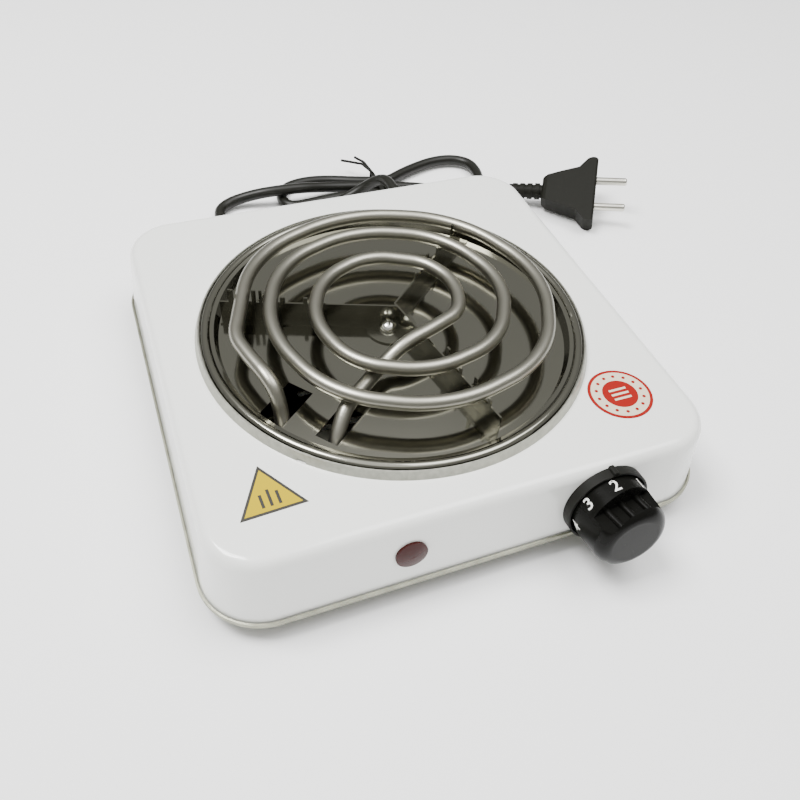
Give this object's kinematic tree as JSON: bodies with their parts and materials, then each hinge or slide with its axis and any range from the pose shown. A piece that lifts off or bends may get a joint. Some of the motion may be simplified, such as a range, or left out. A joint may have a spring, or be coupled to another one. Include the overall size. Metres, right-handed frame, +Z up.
{
  "type": "electric hot plate",
  "caption": "Small single-coil electric hot plate with white enamelled body, bright drip pan, front knob and lamp, and a tied mains cord with a round-pin plug.",
  "frame": {"origin": "on the floor under the middle of the body", "axes": "+X to the right along the front, +Y to the rear (the knob is at -Y), +Z up"},
  "size_m": [0.3138, 0.3367, 0.0614],
  "materials": {
    "white_enamel": "gloss white stoving enamel",
    "galvanised_sheet": "dull galvanised sheet",
    "polished_steel": "mirror-bright pressed steel",
    "satin_steel": "satin drawn steel tube",
    "rolled_steel": "bright rolled edge, lightly scratched",
    "zinc_hardware": "zinc plated",
    "foot_rubber": "matte black",
    "black_gloss_plastic": "gloss black phenolic",
    "black_matte_plastic": "fine matte black",
    "red_lens": "translucent dark red",
    "ceramic_white": "unglazed white steatite",
    "brass_terminal": "bright",
    "printed_label": "printed film",
    "cord_pvc": "satin black PVC",
    "nickel_pin": "nickel plated brass",
    "wire_sleeve": "woven glass and silicone sleeve",
    "bulb_glass": "clear neon tube"
  },
  "bodies": {
    "body": {"body_shell": "white_enamel", "base_plate": "galvanised_sheet", "rubber_feet": "foot_rubber", "foot_screws": "zinc_hardware", "corner_posts": "zinc_hardware", "trim_ring": "rolled_steel", "drip_pan": "polished_steel", "heating_coil": "satin_steel", "terminal_bushes": "ceramic_white", "terminal_pins": "zinc_hardware", "coil_spider": "polished_steel", "centre_bolt": "polished_steel", "centre_washer": "zinc_hardware", "centre_nut": "zinc_hardware", "pan_bridge": "galvanised_sheet", "thermostat_bracket": "zinc_hardware", "thermostat_base": "ceramic_white", "thermostat_blades": "brass_terminal", "thermostat_bushing": "brass_terminal", "bushing_nut": "zinc_hardware", "knob_bezel": "black_matte_plastic", "lamp_lens": "red_lens", "lamp_holder": "black_matte_plastic", "lamp_bulb": "bulb_glass", "lamp_clip": "zinc_hardware", "triangle_label": "printed_label", "round_label": "printed_label", "cord_gland": "cord_pvc", "terminal_block": "ceramic_white", "inlet_wires": "wire_sleeve", "live_wire": "wire_sleeve", "switched_wire": "wire_sleeve", "neutral_wire": "wire_sleeve", "lamp_wires": "wire_sleeve", "cord_lead": "cord_pvc", "cord_hank": "cord_pvc", "cord_tail": "cord_pvc", "twist_tie": "black_matte_plastic", "plug_body": "cord_pvc", "plug_pins": "nickel_pin"},
    "knob": {"knob": "black_gloss_plastic", "control_shaft": "zinc_hardware"}
  },
  "joints": [
    {"name": "knob_turn", "type": "hinge", "parent": "body", "child": "knob", "pos_m": [0.0524, -0.11014, 0.027], "axis": [0, 0.9935, -0.1139], "range_deg": [-82, 143]}
  ]
}
